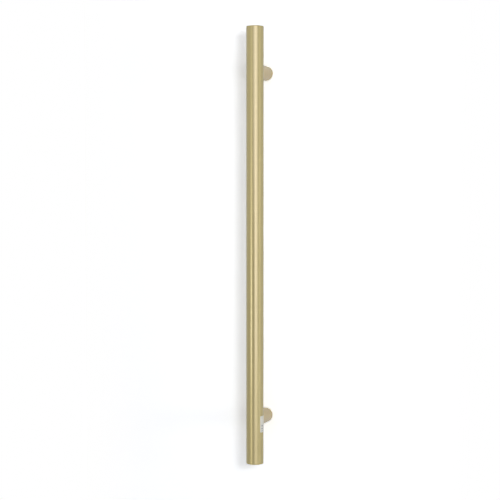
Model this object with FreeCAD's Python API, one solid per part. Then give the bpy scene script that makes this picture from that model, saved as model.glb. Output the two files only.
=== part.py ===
import FreeCAD
import Part

import math
import os

# A single-bar electric towel warmer: one upright round bar held off the wall by two round posts.
# The frame is in millimetres with +Z up. The wall is the plane Y = 0 and the room is towards -Y.
# The origin is on the wall, in the middle of the four fixing holes. X is to the right, seen from the room.
# The bar is a thin tube closed by two end caps, and the posts are welded to its back. Inside, a loop of
# heating cable hangs in the tube, and its leads go through the lower post to a terminal block.
# Each post slides over a spigot that is screwed to the wall, and a set screw from below locks it there.

V = FreeCAD.Vector

# ---- The bar and its end caps
BAR_LENGTH = 950.0
BAR_DIAMETER = 38.0
BAR_WALL = 1.5
AXIS_TO_WALL = 76.0
CAP_THICKNESS = 4.0
CAP_EDGE_RADIUS = 1.6
CAP_SKIRT_LENGTH = 8.0
CAP_SKIRT_WALL = 1.2
CAP_CLEARANCE = 0.05

# ---- The two posts, and the collar in each that backs the set screw's thread
POST_INSET = 95.0            # from each end of the bar to the post's axis
POST_DIAMETER = 32.0
POST_WALL = 1.5
POST_TO_WALL = 0.3
POST_END_CHAMFER = 0.4       # round the outside of the wall end
COLLAR_WALL = 1.2
COLLAR_LENGTH = 12.0
COLLAR_RECESS = 0.5          # from the post's end to the collar
COLLAR_CLEARANCE = 0.02

# ---- The spigots on the wall
SPIGOT_LENGTH = 14.0
SPIGOT_CLEARANCE = 0.08      # between the spigot and the collar that slides over it
SPIGOT_CHAMFER = 1.0
SPIGOT_FLAT_DEPTH = 1.5      # the flat under the spigot that the set screw bears on
FIXING_HOLE_RADIUS = 2.0
FIXING_HEAD_RADIUS = 3.5     # of the countersink for the screw's head

# ---- The set screws
SET_SCREW_RADIUS = 2.5
SET_SCREW_LENGTH = 4.0
SET_SCREW_FROM_WALL = 7.0
SET_SCREW_CLEARANCE = 0.05
SET_SCREW_TIP_GAP = 0.1
SET_SCREW_POINT = 0.6        # height and width of the point's chamfer
HEX_ACROSS_FLATS = 2.5
HEX_DEPTH = 2.0

# ---- The grommet that the supply cable comes in through
GROMMET_BORE_RADIUS = 3.0
GROMMET_WALL = 1.25
GROMMET_CLEARANCE = 0.05
GROMMET_FLANGE_WIDTH = 0.9
GROMMET_FLANGE_THICKNESS = 1.5

# ---- The bush that the leads pass through, in the bar's back wall
BUSH_BORE_RADIUS = 4.7
BUSH_WALL = 1.2
BUSH_CLEARANCE = 0.05
BUSH_FLANGE_WIDTH = 1.7
BUSH_FLANGE_THICKNESS = 1.4

# ---- The heating cable and what holds it
CABLE_RADIUS = 2.25
CABLE_OFFSET = 8.0           # of each run from the bar's axis, and the loop's radius
CABLE_ABOVE_POST = 80.0      # from the lower post's axis to the cable's ends
LOOP_BELOW_TOP = 51.0        # from the bar's top to the loop's centre
HOLDER_CLEARANCE = 0.15      # of the spacers, round the cable and in the tube
SPACER_COUNT = 6
SPACER_THICKNESS = 6.0
SPACER_HOLE_RADIUS = 3.0
SADDLE_DROP = 4.0            # from the loop's centre to the top of the saddle's disc
SADDLE_WIDTH = 8.0

# ---- The splices, the leads and the thermal cut-out
LEAD_RADIUS = 1.2
CONDUCTOR_RADIUS = 0.6
CONDUCTOR_LENGTH = 6.0
CRIMP_RADIUS = 2.1
CRIMP_LENGTH = 12.0
SLEEVE_WALL = 0.5
SLEEVE_OVERLAP = 8.0         # of the heat-shrink sleeve past each end of the crimp
SLEEVE_CLEARANCE = 0.05
JUMPER_LENGTH = 18.0
CUTOUT_SIZE = V(7.7, 4.2, 20.0)
CUTOUT_EDGE_RADIUS = 0.8
LEAD_SPACING = 2.9           # of the two leads from the post's axis, in the bush
LEAD_FAN = 18.0              # height over which the leads close up above the post's axis
ARC_SHARE = 0.45             # how much of its shorter run an arc takes up

# ---- The terminal block in the lower post
BLOCK_LENGTH = 16.0
BLOCK_HEIGHT = 12.6
BLOCK_CLEARANCE = 0.4        # from the block's long edges to the post's bore
BLOCK_FROM_SPIGOT = 9.0
INSERT_RADIUS = 2.5
INSERT_BORE_RADIUS = 0.75
INSERT_CLEARANCE = 0.05
INSERT_END_GAP = 1.0
CLAMP_SCREW_RADIUS = 1.4
CLAMP_SCREW_CLEARANCE = 0.05
CLAMP_SCREW_SPACING = 8.0
CLAMP_HEAD_RADIUS = 1.8
CLAMP_HEAD_HEIGHT = 1.6
CLAMP_SLOT_WIDTH = 0.6
CLAMP_SLOT_DEPTH = 0.8
ENTRY_RADIUS = 1.5
LEAD_FAN_START = 3.0         # from the bar's back to where the leads open out again
LEAD_STRAIGHT = 4.5          # last straight stretch of a lead, in front of the block

# ---- The earth tab in the lower post, and the connector on it
TAB_WIDTH = 6.3
TAB_THICKNESS = 0.8
TAB_BLADE_LENGTH = 8.0
TAB_BASE_LENGTH = 6.0
TAB_WALL_GAP = 0.05
TAB_JOGGLE = 2.4             # from the base down to the blade
TAB_FROM_BLOCK = 3.0         # from the block's wall side to the tab's end
CONNECTOR_WALL = 0.9
CONNECTOR_LENGTH = 14.0
CONNECTOR_CLEARANCE = 0.1
CONNECTOR_GRIP = 7.0         # how far the blade goes in
EARTH_LOOP_REACH = 2.5       # straight stretch of the earth lead at each end of its turn

# ---- The rating label on the bar's right side
LABEL_WIDTH = 20.0
LABEL_HEIGHT = 36.0
LABEL_THICKNESS = 0.12
LABEL_GLUE = 0.02
LABEL_TURN = -3.5            # degrees from +X to its middle, towards the room
LABEL_BELOW_POST = 6.6

# ---- What follows from those sizes
BAR_Y = -AXIS_TO_WALL
BAR_RADIUS = BAR_DIAMETER / 2
BAR_BORE_RADIUS = BAR_RADIUS - BAR_WALL
BAR_TOP = BAR_LENGTH / 2
POST_HEIGHTS = {"upper": BAR_TOP - POST_INSET, "lower": POST_INSET - BAR_TOP}
POST_RADIUS = POST_DIAMETER / 2
POST_BORE_RADIUS = POST_RADIUS - POST_WALL
COLLAR_RADIUS = POST_BORE_RADIUS - COLLAR_CLEARANCE
COLLAR_BORE_RADIUS = COLLAR_RADIUS - COLLAR_WALL
SPIGOT_RADIUS = COLLAR_BORE_RADIUS - SPIGOT_CLEARANCE
SPIGOT_FLAT = SPIGOT_RADIUS - SPIGOT_FLAT_DEPTH
GROMMET_RADIUS = GROMMET_BORE_RADIUS + GROMMET_WALL
CABLE_HOLE_RADIUS = GROMMET_RADIUS + GROMMET_CLEARANCE
FIXING_OFFSET = (CABLE_HOLE_RADIUS + SPIGOT_RADIUS - SPIGOT_CHAMFER) / 2    # midway, from the axis
BUSH_RADIUS = BUSH_BORE_RADIUS + BUSH_WALL
BAR_BACK = BAR_Y + BAR_RADIUS
LOWER = POST_HEIGHTS["lower"]
CABLE_END = LOWER + CABLE_ABOVE_POST
LOOP_HEIGHT = BAR_TOP - LOOP_BELOW_TOP
HOLDER_RADIUS = BAR_BORE_RADIUS - HOLDER_CLEARANCE
CRIMP_END = CABLE_END - CRIMP_LENGTH
CUTOUT_TOP = CRIMP_END - JUMPER_LENGTH
CUTOUT_END = CUTOUT_TOP - CUTOUT_SIZE.z
BLOCK_WIDTH = 2 * math.sqrt((POST_BORE_RADIUS - BLOCK_CLEARANCE) ** 2 - (BLOCK_HEIGHT / 2) ** 2)
WAY_PITCH = BLOCK_WIDTH / 3
BLOCK_WALL_FACE = -SPIGOT_LENGTH - BLOCK_FROM_SPIGOT
BLOCK_BAR_FACE = BLOCK_WALL_FACE - BLOCK_LENGTH
INSERT_START = BLOCK_BAR_FACE + INSERT_END_GAP
INSERT_END = BLOCK_WALL_FACE - INSERT_END_GAP
TAB_BASE_TOP = math.sqrt(POST_BORE_RADIUS ** 2 - (TAB_WIDTH / 2) ** 2) - TAB_WALL_GAP
TAB_BLADE_TOP = TAB_BASE_TOP - TAB_JOGGLE
TAB_END = BLOCK_WALL_FACE + TAB_FROM_BLOCK
TAB_STEP = TAB_END - TAB_BASE_LENGTH
CONNECTOR_END = TAB_STEP - TAB_BLADE_LENGTH + CONNECTOR_GRIP
CONNECTOR_START = CONNECTOR_END - CONNECTOR_LENGTH
MARGIN = 1.0                 # how far a cutting shape runs past what it cuts


def rod(radius, start, end):
    """A solid cylinder between two points."""
    return Part.makeCylinder(radius, start.distanceToPoint(end), start, end - start)


def pipe(radius, bore_radius, start, end):
    """A hollow cylinder between two points."""
    return rod(radius, start, end).cut(rod(bore_radius, start, end))


def block(low, high):
    """A box between two corners."""
    size = high - low
    return Part.makeBox(size.x, size.y, size.z, low)


def unit(vector):
    return FreeCAD.Vector(vector).normalize()


def route(points):
    """The path through the points: straight runs, joined by arcs as large as the two runs allow."""
    edges, here = [], points[0]
    for before, corner, after in zip(points, points[1:], points[2:]):
        way_in, way_out = unit(corner - before), unit(after - corner)
        half_turn = way_in.getAngle(way_out) / 2
        reach = ARC_SHARE * min((corner - before).Length, (after - corner).Length)
        radius = reach / math.tan(half_turn)
        start, end = corner - way_in * reach, corner + way_out * reach
        middle = corner + unit(way_out - way_in) * (radius / math.cos(half_turn) - radius)
        edges.append(Part.LineSegment(here, start).toShape())
        edges.append(Part.Arc(start, middle, end).toShape())
        here = end
    edges.append(Part.LineSegment(here, points[-1]).toShape())
    return Part.Wire(edges)


def sweep(path, radius):
    """A round solid along a path. Its volume has to be its section times the path's length."""
    first = path.Edges[0]
    start = first.valueAt(first.FirstParameter)
    profile = Part.Wire([Part.Circle(start, first.tangentAt(first.FirstParameter), radius).toShape()])
    solid = path.makePipeShell([profile], True, False)
    wanted = math.pi * radius ** 2 * path.Length
    if abs(solid.Volume / wanted - 1) > 0.01:
        raise ValueError("a sweep came out with the wrong volume")
    return solid


def in_bar(x, height):
    """A point in the bar, beside its axis."""
    return V(x, BAR_Y, height)


def in_post(x, y, up, height=LOWER):
    """A point in a post: across, along and above its axis."""
    return V(x, y, height + up)


# ---- The bar

def bar_tube():
    half = BAR_TOP - CAP_THICKNESS
    tube = pipe(BAR_RADIUS, BAR_BORE_RADIUS, in_bar(0, -half), in_bar(0, half))
    wire_hole = rod(BUSH_RADIUS + BUSH_CLEARANCE, in_post(0, BAR_Y, 0), in_post(0, BAR_BACK + MARGIN, 0))
    return tube.cut(wire_hole)


def end_cap(up):
    """A turned cap: a rounded disc flush with the tube, and a skirt that goes into it. up is 1 or -1."""
    rim = BAR_TOP - CAP_THICKNESS
    outer, inner = in_bar(0, up * BAR_TOP), in_bar(0, up * rim)
    disc = rod(BAR_RADIUS, inner, outer)
    rim_edges = [e for e in disc.Edges if abs(e.BoundBox.Center.z - up * BAR_TOP) < 1e-6]
    disc = disc.makeFillet(CAP_EDGE_RADIUS, rim_edges)
    skirt_radius = BAR_BORE_RADIUS - CAP_CLEARANCE
    skirt = pipe(skirt_radius, skirt_radius - CAP_SKIRT_WALL, in_bar(0, up * (rim - CAP_SKIRT_LENGTH)), inner)
    return disc.fuse(skirt).removeSplitter()


def rating_label():
    """A printed film wrapped on the bar's right side, beside the lower post."""
    inner = BAR_RADIUS + LABEL_GLUE
    width_degrees = math.degrees(LABEL_WIDTH / inner)
    foot = in_bar(0, LOWER - LABEL_BELOW_POST - LABEL_HEIGHT / 2)
    outer_slice = Part.makeCylinder(inner + LABEL_THICKNESS, LABEL_HEIGHT, foot, V(0, 0, 1), width_degrees)
    film = outer_slice.cut(rod(inner, foot, foot + V(0, 0, LABEL_HEIGHT)))
    film.rotate(foot, V(0, 0, 1), LABEL_TURN - width_degrees / 2)
    return film


# ---- The posts

def set_screw_axis(height, radius, depth):
    """A rod along a set screw's axis, from the post's own axis down to depth below it."""
    return rod(radius, V(0, -SET_SCREW_FROM_WALL, height), V(0, -SET_SCREW_FROM_WALL, height - depth))


def post(height):
    """A tube coped to the bar at one end, with a hole below for the set screw."""
    start, end = V(0, BAR_Y, height), V(0, -POST_TO_WALL, height)
    outside = rod(POST_RADIUS, start, end)
    wall_rim = [e for e in outside.Edges if abs(e.BoundBox.YMin + POST_TO_WALL) < 1e-6]
    tube = outside.makeChamfer(POST_END_CHAMFER, wall_rim).cut(rod(POST_BORE_RADIUS, start, end))
    bar = rod(BAR_RADIUS, in_bar(0, height - POST_DIAMETER), in_bar(0, height + POST_DIAMETER))
    screw_hole = set_screw_axis(height, SET_SCREW_RADIUS + SET_SCREW_CLEARANCE, POST_RADIUS + MARGIN)
    return tube.cut(bar).cut(screw_hole)


def post_collar(height):
    end = V(0, -POST_TO_WALL - COLLAR_RECESS, height)
    ring = pipe(COLLAR_RADIUS, COLLAR_BORE_RADIUS, end - V(0, COLLAR_LENGTH, 0), end)
    return ring.cut(set_screw_axis(height, SET_SCREW_RADIUS + SET_SCREW_CLEARANCE, POST_RADIUS))


def set_screw(height):
    """A hexagon socket set screw with a cup point, upright below the spigot. Its thread is left plain."""
    tip = V(0, -SET_SCREW_FROM_WALL, height - SPIGOT_FLAT - SET_SCREW_TIP_GAP)
    foot = tip - V(0, 0, SET_SCREW_LENGTH)
    shank = rod(SET_SCREW_RADIUS, foot, tip - V(0, 0, SET_SCREW_POINT))
    point = Part.makeCone(SET_SCREW_RADIUS, SET_SCREW_RADIUS - SET_SCREW_POINT, SET_SCREW_POINT,
                          tip - V(0, 0, SET_SCREW_POINT))
    corner = HEX_ACROSS_FLATS / math.sqrt(3)
    corners = [foot + V(corner * math.cos(k * math.pi / 3), corner * math.sin(k * math.pi / 3), 0)
               for k in range(7)]
    socket = Part.Face(Part.makePolygon(corners)).extrude(V(0, 0, HEX_DEPTH))
    return shank.fuse(point).cut(socket).removeSplitter()


# ---- On the wall

def wall_spigot(height):
    """A turned plug: two countersunk fixing holes, a cable hole and a flat below for the set screw."""
    foot, nose = V(0, 0, height), V(0, -SPIGOT_LENGTH, height)
    plug = rod(SPIGOT_RADIUS, foot, nose)
    nose_edges = [e for e in plug.Edges if abs(e.BoundBox.YMax + SPIGOT_LENGTH) < 1e-6]
    plug = plug.makeChamfer(SPIGOT_CHAMFER, nose_edges)
    plug = plug.cut(rod(CABLE_HOLE_RADIUS, foot, nose))
    sink = FIXING_HEAD_RADIUS - FIXING_HOLE_RADIUS
    for side in (-1, 1):
        across = V(side * FIXING_OFFSET, 0, 0)
        plug = plug.cut(rod(FIXING_HOLE_RADIUS, foot + across, nose + across))
        head = Part.makeCone(FIXING_HEAD_RADIUS, FIXING_HOLE_RADIUS, sink, nose + across, V(0, 1, 0))
        plug = plug.cut(head)
    below = block(V(-SPIGOT_RADIUS, -SPIGOT_LENGTH, height - SPIGOT_RADIUS),
                  V(SPIGOT_RADIUS, 0, height - SPIGOT_FLAT))
    return plug.cut(below)


def cable_grommet():
    """A flanged rubber bush through the lower spigot, for the supply cable."""
    nose = in_post(0, -SPIGOT_LENGTH, 0)
    lip = nose - V(0, GROMMET_FLANGE_THICKNESS, 0)
    body = rod(GROMMET_RADIUS, nose, in_post(0, 0, 0))
    flange = rod(GROMMET_RADIUS + GROMMET_FLANGE_WIDTH, lip, nose)
    return body.fuse(flange).removeSplitter().cut(rod(GROMMET_BORE_RADIUS, lip, in_post(0, 0, 0)))


# ---- The heating cable

def heating_cable():
    """One length of cable: up one side of the bar, round the loop and down the other side."""
    left_foot, right_foot = in_bar(-CABLE_OFFSET, CABLE_END), in_bar(CABLE_OFFSET, CABLE_END)
    left_top, right_top = in_bar(-CABLE_OFFSET, LOOP_HEIGHT), in_bar(CABLE_OFFSET, LOOP_HEIGHT)
    crown = in_bar(0, LOOP_HEIGHT + CABLE_OFFSET)
    path = Part.Wire([Part.LineSegment(left_foot, left_top).toShape(),
                      Part.Arc(left_top, crown, right_top).toShape(),
                      Part.LineSegment(right_top, right_foot).toShape()])
    return sweep(path, CABLE_RADIUS)


def holder_disc(low, high):
    """A silicone disc that fits the tube, with a hole for each run of the cable."""
    disc = rod(HOLDER_RADIUS, in_bar(0, low), in_bar(0, high))
    for x in (-CABLE_OFFSET, CABLE_OFFSET):
        disc = disc.cut(rod(CABLE_RADIUS + HOLDER_CLEARANCE, in_bar(x, low), in_bar(x, high)))
    return disc


def cable_spacers():
    first = CABLE_END + SLEEVE_OVERLAP + SPACER_THICKNESS
    pitch = (LOOP_HEIGHT - SADDLE_DROP - SPACER_THICKNESS - first) / SPACER_COUNT
    discs = []
    for k in range(SPACER_COUNT):
        low = first + k * pitch
        high = low + SPACER_THICKNESS
        discs.append(holder_disc(low, high).cut(rod(SPACER_HOLE_RADIUS, in_bar(0, low), in_bar(0, high))))
    return Part.Compound(discs)


def loop_saddle():
    """The topmost disc, with a round back that the cable's loop lies over."""
    top = LOOP_HEIGHT - SADDLE_DROP
    disc = holder_disc(top - SPACER_THICKNESS, top)
    back_radius = CABLE_OFFSET - CABLE_RADIUS - HOLDER_CLEARANCE
    half_width = V(0, SADDLE_WIDTH / 2, 0)
    centre = in_bar(0, LOOP_HEIGHT)
    back = rod(back_radius, centre - half_width, centre + half_width)
    stem = block(in_bar(-back_radius, top) - half_width, in_bar(back_radius, LOOP_HEIGHT) + half_width)
    disc_top = rod(HOLDER_RADIUS, in_bar(0, top), in_bar(0, LOOP_HEIGHT + back_radius))
    return disc.fuse(back.fuse(stem).common(disc_top)).removeSplitter()


def crimps():
    """The barrels that join the cable's cold ends to the leads."""
    return Part.Compound([rod(CRIMP_RADIUS, in_bar(x, CRIMP_END), in_bar(x, CABLE_END))
                          for x in (-CABLE_OFFSET, CABLE_OFFSET)])


def heat_shrink_sleeves():
    bore = CABLE_RADIUS + SLEEVE_CLEARANCE
    return Part.Compound([pipe(bore + SLEEVE_WALL, bore, in_bar(x, CRIMP_END - SLEEVE_OVERLAP),
                               in_bar(x, CABLE_END + SLEEVE_OVERLAP))
                          for x in (-CABLE_OFFSET, CABLE_OFFSET)])


def thermal_cutout():
    """The bimetal switch in the live lead, which opens if the bar gets too hot."""
    middle = in_bar(-CABLE_OFFSET, CUTOUT_END)
    half = V(CUTOUT_SIZE.x / 2, CUTOUT_SIZE.y / 2, 0)
    body = block(middle - half, middle + half + V(0, 0, CUTOUT_SIZE.z))
    return body.makeFillet(CUTOUT_EDGE_RADIUS, body.Edges)


def live_jumper():
    return rod(LEAD_RADIUS, in_bar(-CABLE_OFFSET, CUTOUT_TOP), in_bar(-CABLE_OFFSET, CRIMP_END))


def lead(side, start):
    """An insulated lead, from start in the bar to its way in the block, with a bare end."""
    near, way = side * LEAD_SPACING, side * WAY_PITCH
    straight = BLOCK_BAR_FACE - LEAD_STRAIGHT
    points = [in_bar(side * CABLE_OFFSET, start),
              in_bar(side * CABLE_OFFSET, LOWER + LEAD_FAN),
              in_bar(near, LOWER),
              in_post(near, BAR_BACK + LEAD_FAN_START, 0),
              in_post(way, straight, 0),
              in_post(way, BLOCK_BAR_FACE + INSERT_END_GAP, 0)]
    end = points[-1]
    bare = rod(CONDUCTOR_RADIUS, end, end + V(0, CONDUCTOR_LENGTH, 0))
    return sweep(route(points), LEAD_RADIUS).fuse(bare).removeSplitter()


def lead_bush():
    """A saddle-shaped bush, which keeps the leads off the edge of the hole in the bar."""
    def shell(inner, outer):
        ends = (in_bar(0, LOWER - POST_RADIUS), in_bar(0, LOWER + POST_RADIUS))
        return rod(outer, *ends).cut(rod(inner, *ends))

    inside = BAR_BORE_RADIUS - BUSH_CLEARANCE
    outside = BAR_RADIUS + BUSH_CLEARANCE
    lowest, highest = inside - BUSH_FLANGE_THICKNESS, outside + BUSH_FLANGE_THICKNESS
    start, end = in_post(0, BAR_Y, 0), in_post(0, BAR_BACK + 2 * BUSH_FLANGE_THICKNESS + MARGIN, 0)
    flange = rod(BUSH_RADIUS + BUSH_FLANGE_WIDTH, start, end)
    flanges = flange.common(shell(lowest, inside).fuse(shell(outside, highest)))
    neck = rod(BUSH_RADIUS, start, end).common(shell(lowest, highest))
    return flanges.fuse(neck).cut(rod(BUSH_BORE_RADIUS, start, end)).removeSplitter()


# ---- The terminal block

def ways():
    """The block's three ways, from left to right: live, earth and neutral."""
    return (-WAY_PITCH, 0.0, WAY_PITCH)


def clamp_screw_places():
    """Where each clamp screw stands: two along each way."""
    middle = (BLOCK_BAR_FACE + BLOCK_WALL_FACE) / 2
    return [(x, middle + side * CLAMP_SCREW_SPACING / 2) for x in ways() for side in (-1, 1)]


def terminal_block():
    """The moulding, with a tunnel for each insert and a well for each clamp screw."""
    across, up = BLOCK_WIDTH / 2, BLOCK_HEIGHT / 2
    body = block(in_post(-across, BLOCK_BAR_FACE, -up), in_post(across, BLOCK_WALL_FACE, up))
    for x in ways():
        body = body.cut(rod(ENTRY_RADIUS, in_post(x, BLOCK_BAR_FACE, 0), in_post(x, BLOCK_WALL_FACE, 0)))
        body = body.cut(rod(INSERT_RADIUS + INSERT_CLEARANCE, in_post(x, INSERT_START, 0),
                            in_post(x, INSERT_END, 0)))
    for x, y in clamp_screw_places():
        body = body.cut(rod(CLAMP_HEAD_RADIUS + CLAMP_SCREW_CLEARANCE, in_post(x, y, 0),
                            in_post(x, y, up)))
    return body


def terminal_inserts():
    """The three brass barrels that the wires go into."""
    barrels = []
    for x in ways():
        start, end = in_post(x, INSERT_START, 0), in_post(x, INSERT_END, 0)
        barrel = pipe(INSERT_RADIUS, INSERT_BORE_RADIUS, start, end)
        for at, y in clamp_screw_places():
            if at == x:
                hole = rod(CLAMP_SCREW_RADIUS + CLAMP_SCREW_CLEARANCE, in_post(x, y, 0),
                           in_post(x, y, INSERT_RADIUS + MARGIN))
                barrel = barrel.cut(hole)
        barrels.append(barrel)
    return Part.Compound(barrels)


def clamp_screws():
    """Six slotted screws, each down on its wire."""
    screws = []
    for x, y in clamp_screw_places():
        foot, shoulder = in_post(x, y, CONDUCTOR_RADIUS), in_post(x, y, INSERT_RADIUS + CLAMP_SCREW_CLEARANCE)
        top = shoulder + V(0, 0, CLAMP_HEAD_HEIGHT)
        slot = block(top - V(CLAMP_HEAD_RADIUS, CLAMP_SLOT_WIDTH / 2, CLAMP_SLOT_DEPTH),
                     top + V(CLAMP_HEAD_RADIUS, CLAMP_SLOT_WIDTH / 2, 0))
        screw = rod(CLAMP_SCREW_RADIUS, foot, shoulder).fuse(rod(CLAMP_HEAD_RADIUS, shoulder, top))
        screws.append(screw.removeSplitter().cut(slot))
    return Part.Compound(screws)


# ---- The earth

def earth_tab():
    """A bent strip welded inside the post, with a blade for the push-on connector."""
    half = TAB_WIDTH / 2
    base = block(in_post(-half, TAB_STEP, TAB_BASE_TOP - TAB_THICKNESS), in_post(half, TAB_END, TAB_BASE_TOP))
    web = block(in_post(-half, TAB_STEP, TAB_BLADE_TOP - TAB_THICKNESS),
                in_post(half, TAB_STEP + TAB_THICKNESS, TAB_BASE_TOP))
    blade = block(in_post(-half, TAB_STEP - TAB_BLADE_LENGTH, TAB_BLADE_TOP - TAB_THICKNESS),
                  in_post(half, TAB_STEP + TAB_THICKNESS, TAB_BLADE_TOP))
    return base.fuse(web).fuse(blade).removeSplitter()


def earth_connector():
    """The push-on connector: a flat socket over the blade, with the lead's barrel behind it."""
    middle = TAB_BLADE_TOP - TAB_THICKNESS / 2
    slot_half_width = TAB_WIDTH / 2 + CONNECTOR_CLEARANCE
    slot_half_height = TAB_THICKNESS / 2 + CONNECTOR_CLEARANCE
    half_width, half_height = slot_half_width + CONNECTOR_WALL, slot_half_height + CONNECTOR_WALL
    body = block(in_post(-half_width, CONNECTOR_START, middle - half_height),
                 in_post(half_width, CONNECTOR_END, middle + half_height))
    slot = block(in_post(-slot_half_width, CONNECTOR_END - CONNECTOR_GRIP - CONNECTOR_CLEARANCE,
                         middle - slot_half_height),
                 in_post(slot_half_width, CONNECTOR_END, middle + slot_half_height))
    return body.cut(slot)


def earth_lead():
    """A short lead that turns back on itself, from the block's middle way to the connector."""
    up = TAB_BLADE_TOP - TAB_THICKNESS / 2
    turn = up / 2
    turn_start = min(BLOCK_BAR_FACE, CONNECTOR_START) - EARTH_LOOP_REACH
    foot, head = in_post(0, turn_start, 0), in_post(0, turn_start, up)
    path = Part.Wire([Part.LineSegment(in_post(0, BLOCK_BAR_FACE + INSERT_END_GAP, 0), foot).toShape(),
                      Part.Arc(foot, in_post(0, turn_start - turn, turn), head).toShape(),
                      Part.LineSegment(head, in_post(0, CONNECTOR_START, up)).toShape()])
    end = in_post(0, BLOCK_BAR_FACE + INSERT_END_GAP, 0)
    bare = rod(CONDUCTOR_RADIUS, end, end + V(0, CONDUCTOR_LENGTH, 0))
    return sweep(path, LEAD_RADIUS).fuse(bare).removeSplitter()


def parts():
    """Every piece, by its name."""
    made = {
        "bar_tube": bar_tube(),
        "top_cap": end_cap(1),
        "bottom_cap": end_cap(-1),
        "rating_label": rating_label(),
        "cable_grommet": cable_grommet(),
        "heating_cable": heating_cable(),
        "cable_spacers": cable_spacers(),
        "loop_saddle": loop_saddle(),
        "cable_crimps": crimps(),
        "heat_shrink_sleeves": heat_shrink_sleeves(),
        "thermal_cutout": thermal_cutout(),
        "live_jumper": live_jumper(),
        "live_lead": lead(-1, CUTOUT_END),
        "neutral_lead": lead(1, CRIMP_END),
        "lead_bush": lead_bush(),
        "terminal_block": terminal_block(),
        "terminal_inserts": terminal_inserts(),
        "terminal_screws": clamp_screws(),
        "earth_tab": earth_tab(),
        "earth_connector": earth_connector(),
        "earth_lead": earth_lead(),
    }
    for place, height in POST_HEIGHTS.items():
        made[f"{place}_post"] = post(height)
        made[f"{place}_post_collar"] = post_collar(height)
        made[f"{place}_set_screw"] = set_screw(height)
        made[f"{place}_wall_spigot"] = wall_spigot(height)
    return made


os.makedirs("parts", exist_ok=True)
for name, shape in parts().items():
    shape.exportStep(f"parts/{name}.step")
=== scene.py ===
import math

import bmesh
import bpy
from mathutils import Matrix, Vector


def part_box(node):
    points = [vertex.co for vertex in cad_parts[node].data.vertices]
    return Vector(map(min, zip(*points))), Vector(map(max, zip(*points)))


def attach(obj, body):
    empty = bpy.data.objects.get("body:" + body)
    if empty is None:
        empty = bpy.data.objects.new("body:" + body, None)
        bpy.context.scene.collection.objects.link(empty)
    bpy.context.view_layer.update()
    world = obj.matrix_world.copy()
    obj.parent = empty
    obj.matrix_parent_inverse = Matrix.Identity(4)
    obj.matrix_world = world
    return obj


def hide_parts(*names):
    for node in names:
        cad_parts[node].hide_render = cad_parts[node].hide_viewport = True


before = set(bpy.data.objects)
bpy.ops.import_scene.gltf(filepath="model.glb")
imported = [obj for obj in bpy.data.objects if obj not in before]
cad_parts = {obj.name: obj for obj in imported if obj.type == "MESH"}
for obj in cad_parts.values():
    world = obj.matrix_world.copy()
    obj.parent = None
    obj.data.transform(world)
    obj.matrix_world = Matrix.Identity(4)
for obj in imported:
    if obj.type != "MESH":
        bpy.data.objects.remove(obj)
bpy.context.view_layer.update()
bpy.ops.object.select_all(action="DESELECT")

# ---- Where the camera stands
# The bar is seen from its right and square on to its height, from far enough away that its two ends
# hardly narrow. A long lens, aimed a little left of the bar's axis and below its middle, frames it.
MM = 0.001
VIEW_AZIMUTH = math.radians(19.0)
VIEW_DISTANCE = 2.75
CAMERA_ABOVE = 115 * MM      # above the bar's middle
AIM_LEFT = 10.7 * MM
AIM_BELOW = 7.8 * MM

bar_low, bar_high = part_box("bar_tube")
bar_middle = (bar_low + bar_high) / 2
BAR_RADIUS = (bar_high.x - bar_low.x) / 2
camera_data = bpy.data.cameras.new("camera")
camera_data.sensor_width = 36.0
camera_data.lens = 91.27
camera_data.clip_end = 50.0
camera = bpy.data.objects.new("camera", camera_data)
bpy.context.collection.objects.link(camera)
to_the_right = Vector((math.cos(VIEW_AZIMUTH), math.sin(VIEW_AZIMUTH), 0))
into_the_room = Vector((math.sin(VIEW_AZIMUTH), -math.cos(VIEW_AZIMUTH), 0))
camera.location = bar_middle + into_the_room * VIEW_DISTANCE + Vector((0, 0, CAMERA_ABOVE))
aim = bar_middle - to_the_right * AIM_LEFT - Vector((0, 0, AIM_BELOW))
camera.rotation_euler = (aim - camera.location).to_track_quat("-Z", "Y").to_euler()
bpy.context.scene.camera = camera
bpy.context.scene.view_settings.view_transform = "Standard"


# ---- The bar and its end caps
# Drawn brass tube with a turned cap soldered in each end. Both are ground together on a belt, round
# and round, so the grain runs round the tube, and then lacquered. The rims are a little brighter.
BRASS_LIGHT = (0.725, 0.608, 0.282)
BRASS_DEEP = (0.675, 0.562, 0.256)
BRASS_RIM = (0.770, 0.670, 0.345)
GRAIN_PITCH = 0.22 * MM      # from one scratch to the next, along the tube
GRAIN_LENGTH = 14 * MM       # of a scratch, round the tube
RIM_WIDTH = 1.8 * MM


def node(tree, kind, inputs=None, **settings):
    """A new node. Each input is given a value, or another node's socket to be linked to."""
    made = tree.nodes.new("ShaderNode" + kind)
    for name, value in settings.items():
        setattr(made, name, value)
    for key, value in (inputs or {}).items():
        if isinstance(value, bpy.types.NodeSocket):
            tree.links.new(value, made.inputs[key])
        else:
            made.inputs[key].default_value = value
    return made


def new_material(name, color, roughness=0.5, metallic=0.0, **sockets):
    """A material: its plain values are set on the shader itself. Its object coordinates come with it."""
    material = bpy.data.materials.new(name)
    material.use_nodes = True
    tree = material.node_tree
    shader = tree.nodes["Principled BSDF"]
    shader.inputs["Base Color"].default_value = (*color, 1)
    shader.inputs["Roughness"].default_value = roughness
    shader.inputs["Metallic"].default_value = metallic
    for socket, value in sockets.items():
        shader.inputs[socket.replace("_", " ")].default_value = value
    place = node(tree, "TexCoord").outputs["Object"]
    return material, tree, shader, place


def new_group(name, inputs, outputs):
    """A shader node group. Inputs and outputs are named, each with its kind of socket."""
    tree = bpy.data.node_groups.new(name, "ShaderNodeTree")
    for direction, sockets in (("INPUT", inputs), ("OUTPUT", outputs)):
        for socket, kind in sockets.items():
            tree.interface.new_socket(socket, in_out=direction, socket_type="NodeSocket" + kind)
    return tree, tree.nodes.new("NodeGroupInput").outputs, tree.nodes.new("NodeGroupOutput").inputs


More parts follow.
